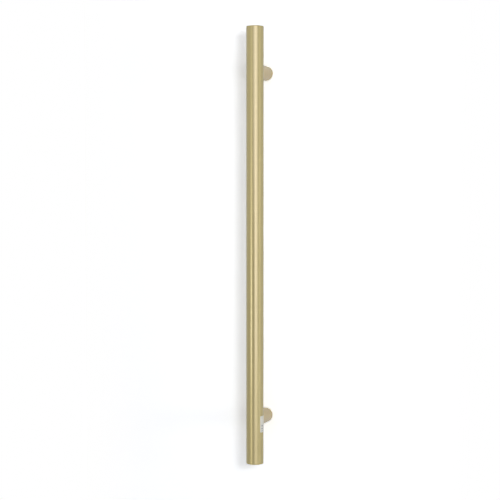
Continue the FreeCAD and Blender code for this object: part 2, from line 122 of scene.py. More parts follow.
def blotches_group():
    """Slow, uneven change over a surface: handling, tarnish, the flow of a moulding."""
    tree, given, result = new_group("blotches", {"Place": "Vector", "Size": "Float", "Low": "Float",
                                                 "High": "Float"}, {"Value": "Float"})
    scale = node(tree, "Math", {0: 1.0, 1: given["Size"]}, operation="DIVIDE")
    noise = node(tree, "TexNoise", {"Vector": given["Place"], "Scale": scale.outputs[0], "Detail": 4.0,
                                    "Roughness": 0.6})
    spread = node(tree, "MapRange", {"Value": noise.outputs["Fac"], "From Min": 0.3, "From Max": 0.7,
                                     "To Min": given["Low"], "To Max": given["High"]})
    tree.links.new(spread.outputs["Result"], result["Value"])
    return tree


def grain_group():
    """Scratches across Z: fine and long ones, out of step with each other, and their height."""
    tree, given, result = new_group("belt_grain", {"Place": "Vector", "Pitch": "Float", "Length": "Float"},
                                    {"Tone": "Float", "Height": "Float"})
    layers = []
    for share, roughness in ((1.0, 0.55), (4.5, 0.4)):
        pitch = node(tree, "Math", {0: given["Pitch"], 1: share}, operation="MULTIPLY")
        length = node(tree, "Math", {0: given["Length"], 1: share}, operation="MULTIPLY")
        size = node(tree, "CombineXYZ", {0: length.outputs[0], 1: length.outputs[0], 2: pitch.outputs[0]})
        stretched = node(tree, "VectorMath", {0: given["Place"], 1: size.outputs[0]}, operation="DIVIDE")
        noise = node(tree, "TexNoise", {"Vector": stretched.outputs[0], "Scale": 1.0, "Detail": 3.0,
                                        "Roughness": roughness})
        layers.append(noise.outputs["Fac"])
    both = node(tree, "Math", {0: layers[0], 1: layers[1]}, operation="ADD")
    half = node(tree, "Math", {0: both.outputs[0], 1: 0.5}, operation="MULTIPLY")
    tone = node(tree, "MapRange", {"Value": half.outputs[0], "From Min": 0.35, "From Max": 0.65})
    tree.links.new(tone.outputs["Result"], result["Tone"])
    tree.links.new(half.outputs[0], result["Height"])
    return tree


def worn_rim_group():
    """Where a rim is rubbed bright: within Width of the height Edge, on both sides of it, and patchy."""
    tree, given, result = new_group("worn_rim", {"Place": "Vector", "Height": "Float", "Edge": "Float",
                                                 "Width": "Float"}, {"Mask": "Float"})
    apart = node(tree, "Math", {0: given["Height"], 1: given["Edge"]}, operation="SUBTRACT")
    distance = node(tree, "Math", {0: apart.outputs[0]}, operation="ABSOLUTE")
    patches = node(tree, "Group", {"Place": given["Place"], "Size": 4 * MM, "Low": 0.4, "High": 1.2},
                   node_tree=BLOTCHES)
    reach = node(tree, "Math", {0: given["Width"], 1: patches.outputs["Value"]}, operation="MULTIPLY")
    near = node(tree, "MapRange", {"Value": distance.outputs[0], "From Max": reach.outputs[0], "To Min": 1.0,
                                   "To Max": 0.0}, interpolation_type="SMOOTHSTEP")
    tree.links.new(near.outputs["Result"], result["Mask"])
    return tree


BLOTCHES = blotches_group()
GRAIN = grain_group()
WORN_RIM = worn_rim_group()


def blotches(tree, place, size, low, high):
    """The blotches group, in a material."""
    return node(tree, "Group", {"Place": place, "Size": size, "Low": low, "High": high},
                node_tree=BLOTCHES).outputs["Value"]


def between(tree, share, first, second):
    """A colour between two others. Either may be a colour or a socket."""
    colors = {key: color if isinstance(color, bpy.types.NodeSocket) else (*color, 1)
              for key, color in (("A", first), ("B", second))}
    return node(tree, "Mix", {"Factor": share, **colors}, data_type="RGBA").outputs["Result"]


def brushed_brass(name, axis, rims, tones=(BRASS_DEEP, BRASS_LIGHT)):
    """Lacquered brass with grain round an axis, Z or Y. rims are the places along it of its bright edges."""
    material, tree, shader, place = new_material(name, tones[1], 0.32, 1.0, Anisotropic=0.75,
                                                 Anisotropic_Rotation=0.25, Coat_Weight=1.0,
                                                 Coat_Roughness=0.12)
    upright = place
    if axis == "Y":
        upright = node(tree, "Mapping", {"Vector": place, "Rotation": (math.pi / 2, 0, 0)}).outputs[0]
    grain = node(tree, "Group", {"Place": upright, "Pitch": GRAIN_PITCH, "Length": GRAIN_LENGTH},
                 node_tree=GRAIN)
    tarnish = blotches(tree, place, 60 * MM, 0.3, 0.7)
    tone = node(tree, "Mix", {"Factor": 0.5, "A": grain.outputs["Tone"], "B": tarnish})
    color = between(tree, tone.outputs["Result"], *tones)
    along = node(tree, "SeparateXYZ", {0: place}).outputs[axis]
    for rim in rims:
        worn = node(tree, "Group", {"Place": place, "Height": along, "Edge": rim, "Width": RIM_WIDTH},
                    node_tree=WORN_RIM)
        color = between(tree, worn.outputs["Mask"], color, BRASS_RIM)
    tree.links.new(color, shader.inputs["Base Color"])
    rough = node(tree, "Mix", {"Factor": 0.6, "A": blotches(tree, place, 35 * MM, 0.30, 0.34),
                               "B": node(tree, "MapRange", {"Value": grain.outputs["Tone"], "To Min": 0.35,
                                                            "To Max": 0.29}).outputs["Result"]})
    tree.links.new(rough.outputs["Result"], shader.inputs["Roughness"])
    bump = node(tree, "Bump", {"Height": grain.outputs["Height"], "Strength": 0.25, "Distance": 0.01 * MM})
    tree.links.new(bump.outputs["Normal"], shader.inputs["Normal"])
    tangent = node(tree, "Tangent", direction_type="RADIAL", axis=axis)
    tree.links.new(tangent.outputs["Tangent"], shader.inputs["Tangent"])
    return material


def finish_with(material, *names):
    """Gives CAD nodes their material."""
    for name in names:
        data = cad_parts[name].data
        data.materials.clear()
        data.materials.append(material)


bar_ends = (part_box("bottom_cap")[0].z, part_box("top_cap")[1].z)
finish_with(brushed_brass("brushed_brass_bar", "Z", bar_ends), "bar_tube", "top_cap", "bottom_cap")


# ---- The posts and their welds
# Two short tubes of the same brass, each coped to the round of the bar and welded to its back. The weld
# is dressed down to a small round fillet and belted with the rest. A post's wall end is open.
POST_BRASS_PAINTED_PALER = ((0.830, 0.660, 0.345), (0.905, 0.735, 0.400))   # paler than the bar's: painted brightness, standing in for the brighter light that the posts reflect
WELD_RADIUS = 0.8 * MM
WELD_COLUMNS = 120
WELD_SIDES = 16
COLUMN_REACH = 1.2 * WELD_RADIUS   # takes in all of one column's points and none of the next one's


def select_only(piece):
    """Makes a piece the only one selected."""
    bpy.ops.object.select_all(action="DESELECT")
    piece.select_set(True)
    bpy.context.view_layer.objects.active = piece


def new_piece(name):
    """Names the primitive just added, moves its place into its mesh and opens it, all selected."""
    piece = bpy.context.object
    piece.name = piece.data.name = name
    bpy.ops.object.transform_apply(location=True, rotation=True, scale=True)
    bpy.ops.object.mode_set(mode="EDIT")
    bpy.ops.mesh.select_mode(type="VERT")
    bpy.ops.mesh.select_all(action="SELECT")
    return piece


def pick(piece, kind, test):
    """Selects the verts, edges or faces of the piece being edited that pass a test, and no others."""
    bpy.ops.mesh.select_mode(type={"verts": "VERT", "edges": "EDGE", "faces": "FACE"}[kind])
    bpy.ops.mesh.select_all(action="DESELECT")
    shape = bmesh.from_edit_mesh(piece.data)
    for item in getattr(shape, kind):
        if test(item):
            item.select_set(True)
    shape.select_flush_mode()
    bmesh.update_edit_mesh(piece.data)


def close_up(piece, smooth_degrees=35):
    """Ends the editing: doubles merged, faces outwards, round stretches shaded smooth."""
    bpy.ops.mesh.select_all(action="SELECT")
    bpy.ops.mesh.remove_doubles(threshold=0.001 * MM)
    bpy.ops.mesh.normals_make_consistent(inside=False)
    bpy.ops.object.mode_set(mode="OBJECT")
    select_only(piece)
    bpy.ops.object.shade_smooth_by_angle(angle=math.radians(smooth_degrees))


def fit_piece(piece, material, body, slot, *nodes):
    """Gives a finished piece its material and body, and hides the CAD nodes that it stands for."""
    piece.data.materials.clear()
    piece.data.materials.append(material)
    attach(piece, body)
    if nodes:
        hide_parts(*nodes)


def copy_of(piece, name, shift):
    """A copy with its own mesh, moved by shift."""
    twin = piece.copy()
    twin.data = piece.data.copy()
    twin.name = twin.data.name = name
    bpy.context.collection.objects.link(twin)
    twin.data.transform(Matrix.Translation(shift))
    return twin


post_boxes = {side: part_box(f"{side}_post") for side in ("upper", "lower")}
post_height = {side: (low.z + high.z) / 2 for side, (low, high) in post_boxes.items()}
POST_RADIUS = (post_boxes["upper"][1].x - post_boxes["upper"][0].x) / 2
between_posts = Vector((0, 0, post_height["lower"] - post_height["upper"]))
# The posts and their welds get this paler brass, a painted brightness standing in for the brighter light that
# the posts reflect.
post_brass_painted_paler = brushed_brass("brushed_brass_post_painted_paler", "Y", (post_boxes["upper"][1].y,), POST_BRASS_PAINTED_PALER)
finish_with(post_brass_painted_paler, "upper_post", "lower_post")

bpy.ops.mesh.primitive_torus_add(major_radius=POST_RADIUS, minor_radius=WELD_RADIUS,
                                 major_segments=WELD_COLUMNS, minor_segments=WELD_SIDES,
                                 location=(0, bar_middle.y, post_height["upper"]),
                                 rotation=(math.pi / 2, 0, 0))
weld = new_piece("upper_post_weld")
for column in range(WELD_COLUMNS):
    # Each column of the ring goes back to where the post meets the bar.
    turn = 2 * math.pi * column / WELD_COLUMNS
    across, up = POST_RADIUS * math.cos(turn), POST_RADIUS * math.sin(turn)
    centre = Vector((across, bar_middle.y, post_height["upper"] + up))
    pick(weld, "verts", lambda point: (point.co - centre).length < COLUMN_REACH)
    bpy.ops.transform.translate(value=(0, math.sqrt(BAR_RADIUS ** 2 - across ** 2), 0))
close_up(weld)
fit_piece(weld, post_brass_painted_paler, "rail", "satin_brass")
fit_piece(copy_of(weld, "lower_post_weld", between_posts), post_brass_painted_paler, "rail", "satin_brass")


# ---- The wall spigots and the posts' collars
# Four turned brass pieces. A spigot is a plug with two countersunk holes for the wall screws and a cable
# hole, and a flat below. A collar is pressed into each post, where its wall backs the set screw's thread.
TURNED_BRASS = (0.780, 0.640, 0.330)
TURNED_BRASS_DULL = (0.600, 0.470, 0.230)
TOOL_PITCH = 0.18 * MM       # from one ring of the lathe tool to the next


def lathe_group():
    """The rings that a tool leaves on a turned face and round a turned side, about an axis along Y."""
    tree, given, result = new_group("lathe_rings", {"Place": "Vector", "Pitch": "Float"},
                                    {"Tone": "Float", "Height": "Float"})
    parts = node(tree, "SeparateXYZ", {0: given["Place"]}).outputs
    flat = node(tree, "CombineXYZ", {0: parts["X"], 1: parts["Z"]}).outputs[0]
    radius = node(tree, "VectorMath", {0: flat}, operation="LENGTH").outputs["Value"]
    travel = node(tree, "Math", {0: radius, 1: parts["Y"]}, operation="SUBTRACT").outputs[0]
    rings = node(tree, "Math", {0: travel, 1: given["Pitch"]}, operation="DIVIDE").outputs[0]
    noise = node(tree, "TexNoise", {"W": rings, "Scale": 1.0, "Detail": 2.0}, noise_dimensions="1D")
    tree.links.new(noise.outputs["Fac"], result["Tone"])
    tree.links.new(noise.outputs["Fac"], result["Height"])
    return tree


LATHE = lathe_group()


def turned_metal(name, color, dull, roughness, centre):
    """Bare metal as it comes off the lathe, about an axis along Y through centre."""
    material, tree, shader, place = new_material(name, color, roughness, 1.0)
    shifted = node(tree, "Mapping", {"Vector": place, "Location": -centre}).outputs[0]
    rings = node(tree, "Group", {"Place": shifted, "Pitch": TOOL_PITCH}, node_tree=LATHE).outputs
    tarnish = blotches(tree, place, 6 * MM, 0.0, 1.0)
    mixed = node(tree, "Mix", {"Factor": 0.4, "A": tarnish, "B": rings["Tone"]}).outputs["Result"]
    tree.links.new(between(tree, mixed, dull, color), shader.inputs["Base Color"])
    tree.links.new(blotches(tree, place, 3 * MM, roughness - 0.06, roughness + 0.08),
                   shader.inputs["Roughness"])
    bump = node(tree, "Bump", {"Height": rings["Height"], "Strength": 0.5, "Distance": 0.03 * MM})
    tree.links.new(bump.outputs["Normal"], shader.inputs["Normal"])
    return material


for side, height in post_height.items():
    turned_brass = turned_metal(f"turned_brass_{side}", TURNED_BRASS, TURNED_BRASS_DULL, 0.3,
                                Vector((0, 0, height)))
    finish_with(turned_brass, f"{side}_wall_spigot", f"{side}_post_collar")


# ---- The set screws
# A steel screw in the underside of each post, with a rolled thread, a hexagon socket in its foot and a
# cup point that bites on the spigot's flat. It is blacked with oil, and bright where the key has been.
THREAD_PITCH = 0.8 * MM
THREAD_SIDES = 36
THREAD_TURNS = 8
BLANK_CLEARANCE = 0.05 * MM  # of the shape that the thread is cut to, past its crests
SCREW_CHAMFER = 0.45 * MM
HEX_RADIUS = 2.5 * MM / math.sqrt(3)
HEX_DEPTH = 2.0 * MM
CUP_RADIUS = 1.2 * MM
CUP_DEPTH = 0.6 * MM
STEEL_BLACK = (0.060, 0.058, 0.060)
STEEL_BARE = (0.420, 0.410, 0.400)


def cut_with(piece, tool, operation="DIFFERENCE"):
    """Cuts a piece with a tool, which is used up."""
    select_only(piece)
    cut = piece.modifiers.new("cut", "BOOLEAN")
    cut.operation = operation
    cut.solver = "EXACT"
    cut.object = tool
    bpy.ops.object.modifier_apply(modifier="cut")
    bpy.data.objects.remove(tool)


screw_low, screw_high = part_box("upper_set_screw")
SCREW_RADIUS = (screw_high.x - screw_low.x) / 2
screw_middle = (screw_low + screw_high) / 2

# The thread is one corner of a small square, wound up and round the screw's axis.
bpy.ops.mesh.primitive_plane_add(size=THREAD_PITCH / math.sqrt(2), rotation=(math.pi / 2, math.pi / 4, 0))
bpy.ops.object.transform_apply(location=False, rotation=True, scale=True)
screw = bpy.context.object
screw.name = screw.data.name = "upper_threaded_screw"
bpy.ops.object.mode_set(mode="EDIT")
pick(screw, "verts", lambda point: point.co.x < -THREAD_PITCH / 4)
bpy.ops.mesh.delete(type="VERT")
bpy.ops.mesh.select_all(action="SELECT")
bpy.ops.transform.translate(value=(SCREW_RADIUS - THREAD_PITCH / 2, 0, -THREAD_TURNS * THREAD_PITCH / 2))
bpy.ops.object.mode_set(mode="OBJECT")
wind = screw.modifiers.new("wind", "SCREW")
wind.screw_offset = THREAD_PITCH
wind.iterations = THREAD_TURNS
wind.steps = wind.render_steps = THREAD_SIDES
bpy.ops.object.modifier_apply(modifier="wind")
screw.location = screw_middle
bpy.ops.object.transform_apply(location=True, rotation=False, scale=False)
bpy.ops.object.mode_set(mode="EDIT")
bpy.ops.mesh.select_all(action="SELECT")
bpy.ops.mesh.remove_doubles(threshold=0.001 * MM)
for level, way in ((screw_low.z - THREAD_PITCH / 8, -1), (screw_high.z + THREAD_PITCH / 8, 1)):
    bpy.ops.mesh.select_all(action="SELECT")
    bpy.ops.mesh.bisect(plane_co=(0, 0, level), plane_no=(0, 0, way), use_fill=True, clear_outer=True)
bpy.ops.mesh.select_all(action="SELECT")
bpy.ops.mesh.normals_make_consistent(inside=False)
bpy.ops.object.mode_set(mode="OBJECT")

bpy.ops.mesh.primitive_cylinder_add(vertices=48, radius=SCREW_RADIUS + BLANK_CLEARANCE,
                                    depth=screw_high.z - screw_low.z, location=screw_middle)
blank = new_piece("screw_blank")
pick(blank, "faces", lambda face: abs(face.normal.z) > 0.9)
bpy.ops.mesh.bevel(offset=SCREW_CHAMFER, segments=1)
bpy.ops.object.mode_set(mode="OBJECT")
cut_with(screw, blank, "INTERSECT")
bpy.ops.mesh.primitive_cylinder_add(vertices=6, radius=HEX_RADIUS, depth=2 * HEX_DEPTH,
                                    location=(0, screw_middle.y, screw_low.z))
cut_with(screw, bpy.context.object)
bpy.ops.mesh.primitive_cone_add(vertices=36, radius1=0, radius2=CUP_RADIUS * 2, depth=CUP_DEPTH * 2,
                                location=(0, screw_middle.y, screw_high.z))
cut_with(screw, bpy.context.object)
bpy.ops.object.mode_set(mode="EDIT")
close_up(screw, 25)

steel, tree, shader, place = new_material("blacked_steel", STEEL_BLACK, 0.38, 0.9)
bare = blotches(tree, place, 1.2 * MM, -0.5, 0.9)
tree.links.new(between(tree, bare, STEEL_BLACK, STEEL_BARE), shader.inputs["Base Color"])
tree.links.new(blotches(tree, place, 0.8 * MM, 0.30, 0.50), shader.inputs["Roughness"])
oiled = node(tree, "Bump", {"Height": blotches(tree, place, 0.4 * MM, 0.0, 1.0), "Strength": 0.3,
                            "Distance": 0.02 * MM})
tree.links.new(oiled.outputs["Normal"], shader.inputs["Normal"])
fit_piece(screw, steel, "upper_screw", "screw_steel", "upper_set_screw")
fit_piece(copy_of(screw, "lower_threaded_screw", between_posts), steel, "lower_screw", "screw_steel",
          "lower_set_screw")


# ---- The cable grommet
# A black rubber bush pushed through the lower spigot, where the supply comes out of the wall. Its round
# lip holds it on the room side, and its bore is a little wider than the cable.
GROMMET_BORE = 3.0 * MM
GROMMET_BODY = 4.25 * MM
GROMMET_ROUND = 0.35 * MM
RUBBER = (0.026, 0.026, 0.027)
RUBBER_BLOOM = (0.070, 0.070, 0.068)


def turned_piece(name, centre, rings, sides=64, along="Y"):
    """A turned shape: a circle drawn out ring after ring. rings are pairs of a radius and a place along."""
    turn = (math.pi / 2, 0, 0) if along == "Y" else (0, 0, 0)
    direction = Vector((0, 1, 0)) if along == "Y" else Vector((0, 0, 1))
    radius, place = rings[0]
    bpy.ops.mesh.primitive_circle_add(vertices=sides, radius=radius, location=centre + direction * place,
                                      rotation=turn)
    piece = new_piece(name)
    for next_radius, next_place in rings[1:]:
        bpy.ops.mesh.extrude_region_move(
            TRANSFORM_OT_translate={"value": direction * (next_place - place)})
        bpy.ops.transform.resize(value=[next_radius / radius] * 3,
                                 center_override=centre + direction * next_place)
        radius, place = next_radius, next_place
    return piece


def rounded(radius, place, size, start):
    """Four rings round a quarter turn of a turned edge, whose centre is radius and place."""
    turns = [math.radians(start + step) for step in (0, 30, 60, 90)]
    return [(radius + size * math.cos(turn), place + size * math.sin(turn)) for turn in turns]


grommet_low, grommet_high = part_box("cable_grommet")
lip_radius = (grommet_high.x - grommet_low.x) / 2
lip_edge = lip_radius - GROMMET_ROUND
SPIGOT_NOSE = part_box("lower_wall_spigot")[0].y
on_post = Vector((0, 0, post_height["lower"]))
grommet_rings = [(GROMMET_BORE, 0), (GROMMET_BODY, 0), (GROMMET_BODY, SPIGOT_NOSE), (lip_edge, SPIGOT_NOSE)]
grommet_rings += rounded(lip_edge, SPIGOT_NOSE - GROMMET_ROUND, GROMMET_ROUND, 0)[::-1]
grommet_rings += rounded(lip_edge, grommet_low.y + GROMMET_ROUND, GROMMET_ROUND, -90)[::-1]
grommet_rings += [(GROMMET_BORE + GROMMET_ROUND, grommet_low.y),
                  (GROMMET_BORE, grommet_low.y + GROMMET_ROUND), (GROMMET_BORE, 0)]
grommet = turned_piece("rubber_grommet", on_post, grommet_rings)
close_up(grommet)


def soft_plastic(name, color, worn, roughness, size, depth=0.02 * MM, **sockets):
    """Rubber, silicone or moulded plastic, a little uneven in colour and gloss, with a fine grain."""
    material, tree, shader, place = new_material(name, color, roughness, **sockets)
    tree.links.new(between(tree, blotches(tree, place, size, -0.2, 0.8), color, worn),
                   shader.inputs["Base Color"])
    tree.links.new(blotches(tree, place, size / 3, roughness - 0.07, roughness + 0.07),
                   shader.inputs["Roughness"])
    bump = node(tree, "Bump", {"Height": blotches(tree, place, size / 12, 0.0, 1.0), "Strength": 0.4,
                               "Distance": depth})
    tree.links.new(bump.outputs["Normal"], shader.inputs["Normal"])
    return material


rubber = soft_plastic("grommet_rubber", RUBBER, RUBBER_BLOOM, 0.6, 5 * MM)
fit_piece(grommet, rubber, "wall_mounts", "black_rubber", "cable_grommet")
finish_with(rubber, "lead_bush")


# ---- The heating cable and its holders
# One loop of resistance wire in brick red silicone runs up one side of the bar and down the other. Pale
# silicone discs keep it off the tube's wall, and the topmost has a round back that the loop lies over.
CABLE_RED = (0.330, 0.060, 0.040)
CABLE_DUST = (0.430, 0.150, 0.110)
HOLDER_PALE = (0.620, 0.600, 0.550)
HOLDER_YELLOWED = (0.560, 0.500, 0.380)
finish_with(soft_plastic("cable_silicone", CABLE_RED, CABLE_DUST, 0.5, 12 * MM), "heating_cable")
finish_with(soft_plastic("holder_silicone", HOLDER_PALE, HOLDER_YELLOWED, 0.55, 10 * MM,
                         Subsurface_Weight=0.15, Subsurface_Scale=0.002), "cable_spacers", "loop_saddle")


# ---- The splices
# Each cold end of the cable is joined to its lead in a tinned copper barrel, pressed shut in two places
# by the crimping tool, under a black sleeve that has shrunk down over the barrel and both jackets.
TIN = (0.560, 0.550, 0.530)
TIN_DULL = (0.350, 0.345, 0.340)
CRIMP_BITES = (0.30, 0.70)   # shares of the barrel's length
BITE_LENGTH = 2.2 * MM
BITE_DEPTH = 0.35 * MM
BARREL_CHAMFER = 0.3 * MM
BARREL_MOUTH = 0.8           # share of the barrel's radius that is left at its two ends
SLEEVE_WALL = 0.5 * MM
SLEEVE_SHRINK = 0.25 * MM    # how much slimmer it is past the barrel
SLEEVE_SLOPE = (2 * MM, 1 * MM)   # out past the barrel's end and in over it, where it slims down
SLEEVE_BLACK = (0.030, 0.030, 0.032)
SLEEVE_SHINE = (0.060, 0.060, 0.064)

crimp_low, crimp_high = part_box("cable_crimps")
CRIMP_RADIUS = (crimp_high.y - crimp_low.y) / 2
splice_apart = crimp_high.x - crimp_low.x - 2 * CRIMP_RADIUS
left_splice = Vector((crimp_low.x + CRIMP_RADIUS, bar_middle.y, 0))
barrel_length = crimp_high.z - crimp_low.z
pressed = CRIMP_RADIUS - BITE_DEPTH
barrel_rings = [(CRIMP_RADIUS * BARREL_MOUTH, crimp_low.z), (CRIMP_RADIUS, crimp_low.z + BARREL_CHAMFER)]
for bite in CRIMP_BITES:
    middle = crimp_low.z + bite * barrel_length
    barrel_rings += [(CRIMP_RADIUS, middle - BITE_LENGTH / 2), (pressed, middle - BITE_LENGTH / 4),
                     (pressed, middle + BITE_LENGTH / 4), (CRIMP_RADIUS, middle + BITE_LENGTH / 2)]
barrel_rings += [(CRIMP_RADIUS, crimp_high.z - BARREL_CHAMFER), (CRIMP_RADIUS * BARREL_MOUTH, crimp_high.z)]
barrel = turned_piece("live_splice_barrel", left_splice, barrel_rings, 48, "Z")
pick(barrel, "edges", lambda edge: edge.is_boundary)
bpy.ops.mesh.edge_face_add()
pick(barrel, "edges", lambda edge: edge.is_boundary)
bpy.ops.mesh.edge_face_add()
close_up(barrel)

sleeve_low, sleeve_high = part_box("heat_shrink_sleeves")
SLEEVE_RADIUS = (sleeve_high.y - sleeve_low.y) / 2
shrunk = SLEEVE_RADIUS - SLEEVE_SHRINK
bore = SLEEVE_RADIUS - SLEEVE_WALL
slope_out, slope_in = SLEEVE_SLOPE
sleeve_rings = [(bore, sleeve_low.z), (shrunk, sleeve_low.z), (shrunk, crimp_low.z - slope_out),
                (SLEEVE_RADIUS, crimp_low.z + slope_in), (SLEEVE_RADIUS, crimp_high.z - slope_in),
                (shrunk, crimp_high.z + slope_out), (shrunk, sleeve_high.z), (bore, sleeve_high.z),
                (bore, sleeve_low.z)]
sleeve = turned_piece("live_splice_sleeve", left_splice, sleeve_rings, 48, "Z")
close_up(sleeve)

tin, tree, shader, place = new_material("tinned_copper", TIN, 0.35, 1.0)
tin_tone = between(tree, blotches(tree, place, 2 * MM, 0.0, 1.0), TIN_DULL, TIN)
tree.links.new(tin_tone, shader.inputs["Base Color"])
tree.links.new(blotches(tree, place, 1 * MM, 0.26, 0.46), shader.inputs["Roughness"])
dents = node(tree, "Bump", {"Height": blotches(tree, place, 0.5 * MM, 0.0, 1.0), "Strength": 0.3,
                            "Distance": 0.03 * MM})
tree.links.new(dents.outputs["Normal"], shader.inputs["Normal"])
sleeve_skin = soft_plastic("sleeve_black", SLEEVE_BLACK, SLEEVE_SHINE, 0.42, 4 * MM)
to_the_neutral = Vector((splice_apart, 0, 0))
fit_piece(barrel, tin, "rail", "tinned_crimp", "cable_crimps")
fit_piece(copy_of(barrel, "neutral_splice_barrel", to_the_neutral), tin, "rail", "tinned_crimp",
          "cable_crimps")
fit_piece(sleeve, sleeve_skin, "rail", "sleeve_black", "heat_shrink_sleeves")
fit_piece(copy_of(sleeve, "neutral_splice_sleeve", to_the_neutral), sleeve_skin, "rail", "sleeve_black",
          "heat_shrink_sleeves")


# ---- The thermal cut-out
# A bimetal switch in a small moulded case, potted at its lead ends, which hangs in the live lead below
# the splice. The case has rounded edges and a raised lid.
CASE_ROUND = 0.8 * MM
LID_INSET = 0.9 * MM
LID_RISE = 0.15 * MM
CASE_BROWN = (0.060, 0.036, 0.024)
CASE_WORN = (0.120, 0.080, 0.056)

case_low, case_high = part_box("thermal_cutout")
case_size = case_high - case_low
bpy.ops.mesh.primitive_cube_add(size=1, location=(case_low + case_high) / 2,
                                scale=(case_size.x, case_size.y - 2 * LID_RISE, case_size.z))
case = new_piece("cutout_case")
bpy.ops.mesh.select_all(action="SELECT")
bpy.ops.mesh.bevel(offset=CASE_ROUND, segments=4)
for side in (-1, 1):
    pick(case, "faces", lambda face: face.normal.y * side > 0.99)
    bpy.ops.mesh.inset(thickness=LID_INSET)
    bpy.ops.mesh.extrude_region_move(TRANSFORM_OT_translate={"value": (0, side * LID_RISE, 0)})
close_up(case)
fit_piece(case, soft_plastic("cutout_case", CASE_BROWN, CASE_WORN, 0.45, 3 * MM), "rail", "cutout_case",
          "thermal_cutout")


# ---- The leads
# Silicone covered wires: brown for live, blue for neutral, green with a yellow stripe for earth. Their
# stripped ends are tinned copper. They keep to their route from the splices to the terminal block.
LIVE_BROWN = (0.110, 0.042, 0.020)
NEUTRAL_BLUE = (0.030, 0.110, 0.330)
EARTH_GREEN = (0.045, 0.210, 0.050)
EARTH_YELLOW = (0.720, 0.560, 0.035)
BARE_RADIUS = 0.62 * MM
LEAD_RADIUS = 1.2 * MM
STRIPE_EDGE = -0.25 * LEAD_RADIUS   # across an earth lead, which is yellow to the left of it
block_low, block_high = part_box("terminal_block")
WAY_PITCH = (block_high.x - block_low.x) / 3


def lead_cover(name, color, across, stripe=None):
    """A lead's cover, and bare wire where it goes into the block's way at across."""
    worn = tuple(0.7 * part + 0.06 for part in color)
    material, tree, shader, place = new_material(name, color, 0.42)
    cover = between(tree, blotches(tree, place, 5 * MM, -0.2, 0.9), color, worn)
    if stripe:
        level = node(tree, "SeparateXYZ", {0: place}).outputs["X"]
        off_centre = node(tree, "Math", {0: level, 1: STRIPE_EDGE}, operation="GREATER_THAN").outputs[0]
        cover = between(tree, off_centre, stripe, cover)
    way_in = node(tree, "VectorMath", {0: place, 1: (across, 0, post_height["lower"])}, operation="SUBTRACT")
    parts = node(tree, "SeparateXYZ", {0: way_in.outputs[0]}).outputs
    flat = node(tree, "CombineXYZ", {0: parts["X"], 1: parts["Z"]}).outputs[0]
    from_axis = node(tree, "VectorMath", {0: flat}, operation="LENGTH").outputs["Value"]
    thin = node(tree, "Math", {0: from_axis, 1: BARE_RADIUS}, operation="LESS_THAN").outputs[0]
    deep = node(tree, "Math", {0: parts["Y"], 1: block_low.y}, operation="GREATER_THAN").outputs[0]
    bare = node(tree, "Math", {0: thin, 1: deep}, operation="MULTIPLY").outputs[0]
    tree.links.new(between(tree, bare, cover, TIN), shader.inputs["Base Color"])
    tree.links.new(bare, shader.inputs["Metallic"])
    tree.links.new(blotches(tree, place, 2 * MM, 0.34, 0.50), shader.inputs["Roughness"])
    return material


finish_with(lead_cover("live_silicone", LIVE_BROWN, -WAY_PITCH), "live_lead", "live_jumper")
finish_with(lead_cover("neutral_silicone", NEUTRAL_BLUE, WAY_PITCH), "neutral_lead")
finish_with(lead_cover("earth_silicone", EARTH_GREEN, 0.0, EARTH_YELLOW), "earth_lead")


# ---- The terminal block
# A white moulding with three ways, waisted between them, which the leads and the supply enter from its
# two ends. Each way holds a brass barrel, and two slotted screws in wells clamp the wires in it.
ENTRY_RADIUS = 1.5 * MM
TUNNEL_RADIUS = 2.55 * MM
TUNNEL_END = 1.0 * MM        # from each face of the block
WELL_RADIUS = 1.85 * MM
WAIST_RADIUS = 0.9 * MM
MOULDING_ROUND = 0.4 * MM
MOULDED_WHITE = (0.760, 0.750, 0.720)
MOULDED_AGED = (0.690, 0.650, 0.540)

block_middle = (block_low + block_high) / 2
bpy.ops.mesh.primitive_cube_add(size=1, location=block_middle, scale=block_high - block_low)
block = new_piece("terminal_moulding")
bpy.ops.mesh.select_all(action="SELECT")
bpy.ops.mesh.bevel(offset=MOULDING_ROUND, segments=3)
bpy.ops.object.mode_set(mode="OBJECT")
screws_low, screws_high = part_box("terminal_screws")
SCREW_HEAD = 1.8 * MM
clamp_rows = (screws_low.y + SCREW_HEAD, screws_high.y - SCREW_HEAD)
ways = (-WAY_PITCH, 0.0, WAY_PITCH)


def rod_tool(radius, start, end):
    """A round cutting tool from one point to another, along one axis."""
    way = end - start
    turn = (math.pi / 2, 0, 0) if way.y else (0, 0, 0)
    bpy.ops.mesh.primitive_cylinder_add(vertices=40, radius=radius, depth=way.length,
                                        location=(start + end) / 2, rotation=turn)
    return bpy.context.object


past = Vector((0, MM, 0))
inwards = Vector((0, TUNNEL_END, 0))
well = Vector((0, 0, block_high.z - block_middle.z + MM))
along_block = Vector((0, block_high.y - block_low.y, 0))
for across in ways:
    front = Vector((across, block_low.y, block_middle.z))
    back = Vector((across, block_high.y, block_middle.z))
    cut_with(block, rod_tool(ENTRY_RADIUS, front - past, back + past))
    cut_with(block, rod_tool(TUNNEL_RADIUS, front + inwards, back - inwards))
    for along in clamp_rows:
        foot = Vector((across, along, block_middle.z))
        cut_with(block, rod_tool(WELL_RADIUS, foot, foot + well))
for across in (-WAY_PITCH / 2, WAY_PITCH / 2):
    for level in (block_low.z, block_high.z):
        waist = Vector((across, block_low.y, level))
        cut_with(block, rod_tool(WAIST_RADIUS, waist - past, waist + past + along_block))
bpy.ops.object.mode_set(mode="EDIT")
close_up(block, 30)
moulding = soft_plastic("terminal_white", MOULDED_WHITE, MOULDED_AGED, 0.38, 6 * MM, 0.01 * MM,
                        Subsurface_Weight=0.1, Subsurface_Scale=0.001)
fit_piece(block, moulding, "rail", "terminal_white", "terminal_block")
finish_with(turned_metal("terminal_brass", TURNED_BRASS, TURNED_BRASS_DULL, 0.34,
                         Vector((0, 0, post_height["lower"]))), "terminal_inserts")

